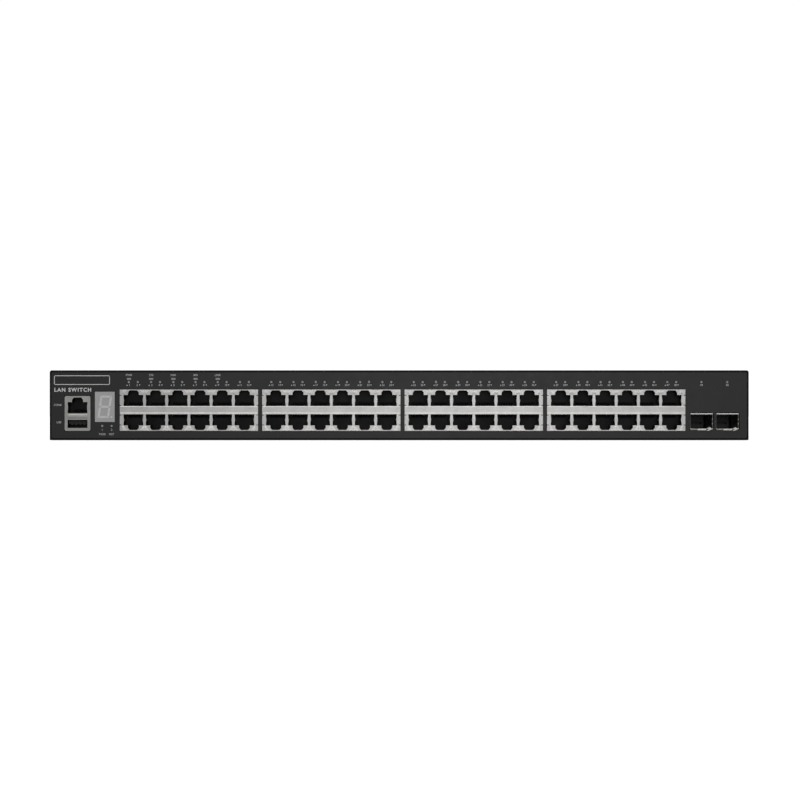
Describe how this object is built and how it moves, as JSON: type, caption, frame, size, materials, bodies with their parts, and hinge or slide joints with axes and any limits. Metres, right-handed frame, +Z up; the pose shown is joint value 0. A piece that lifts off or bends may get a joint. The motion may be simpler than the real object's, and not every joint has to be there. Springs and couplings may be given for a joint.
{
  "type": "rackmount network switch",
  "caption": "Low wide rackmount network switch with ganged jacks, fibre cages, a console jack over a USB socket, a digit display and rear fans.",
  "frame": {"origin": "centre of the underside of the chassis", "axes": "+X to the right seen from the front, +Y from the front to the rear, +Z up"},
  "size_m": [0.44, 0.3353, 0.044],
  "materials": {
    "black_paint": "fine satin powder coat",
    "black_film": "matt printed film",
    "black_screw": "black plated",
    "zinc_screw": "bright zinc plated",
    "brass_screw": "bright",
    "nickel_sheet": "nickel plated",
    "black_moulding": "moulded",
    "gold_contact": "gold plated",
    "grey_lens": "satin face",
    "segment_diffuser": "milky diffuser",
    "light_pipe": "clear moulded",
    "led_package": "diffused",
    "circuit_board": "solder mask",
    "chip_package": "moulded",
    "black_anodised": "black anodised",
    "bare_aluminium": "extruded",
    "capacitor_can": "bright can",
    "capacitor_sleeve": "shrunk sleeve",
    "transformer_tape": "polyester tape",
    "nickel_pin": "nickel plated",
    "fan_plastic": "moulded",
    "cable_jacket": "flexible"
  },
  "bodies": {
    "chassis": {"chassis_base": "black_paint", "front_panel": "black_paint", "top_cover": "black_paint", "expansion_slot_cover": "black_paint", "front_overlay": "black_film", "cover_screws": "black_screw", "front_panel_screws": "black_screw", "rear_screws": "zinc_screw", "fan_screws": "zinc_screw", "earth_screw": "brass_screw", "nameplate": "black_film", "console_usb_shield": "nickel_sheet", "console_usb_housing": "black_moulding", "console_usb_contacts": "gold_contact", "sfp_cage_1": "nickel_sheet", "sfp_cage_2": "nickel_sheet", "sfp_sockets": "black_moulding", "display_body": "grey_lens", "display_segments": "segment_diffuser", "port_light_pipes": "light_pipe", "status_light_pipes": "light_pipe", "indicator_leds": "led_package", "main_board": "circuit_board", "board_standoffs": "zinc_screw", "board_screws": "zinc_screw", "switch_chip": "chip_package", "phy_chips": "chip_package", "memory_chips": "chip_package", "switch_heatsink": "black_anodised", "phy_heatsinks": "black_anodised", "board_capacitors": "capacitor_can", "expansion_socket": "black_moulding", "power_supply_board": "circuit_board", "power_transformer": "transformer_tape", "power_capacitors": "capacitor_sleeve", "power_heatsinks": "bare_aluminium", "power_inlet": "black_moulding", "power_inlet_pins": "nickel_pin", "backup_power_socket": "black_moulding", "fan_guards": "nickel_sheet", "power_harness": "cable_jacket", "fan_leads": "cable_jacket", "port_block_1_shield": "nickel_sheet", "port_block_1_jacks": "black_moulding", "port_block_1_contacts": "gold_contact", "port_block_2_shield": "nickel_sheet", "port_block_2_jacks": "black_moulding", "port_block_2_contacts": "gold_contact", "port_block_3_shield": "nickel_sheet", "port_block_3_jacks": "black_moulding", "port_block_3_contacts": "gold_contact", "port_block_4_shield": "nickel_sheet", "port_block_4_jacks": "black_moulding", "port_block_4_contacts": "gold_contact", "fan_1_frame": "fan_plastic", "fan_2_frame": "fan_plastic", "fan_3_frame": "fan_plastic"},
    "fan_1": {"fan_1_rotor": "fan_plastic"},
    "fan_2": {"fan_2_rotor": "fan_plastic"},
    "fan_3": {"fan_3_rotor": "fan_plastic"}
  },
  "joints": [
    {"name": "fan_1_spin", "type": "hinge", "parent": "chassis", "child": "fan_1", "pos_m": [-0.066, 0.153, 0.022], "axis": [0, 1, 0], "continuous": true},
    {"name": "fan_2_spin", "type": "hinge", "parent": "chassis", "child": "fan_2", "pos_m": [-0.02, 0.153, 0.022], "axis": [0, 1, 0], "continuous": true},
    {"name": "fan_3_spin", "type": "hinge", "parent": "chassis", "child": "fan_3", "pos_m": [0.026, 0.153, 0.022], "axis": [0, 1, 0], "continuous": true}
  ]
}
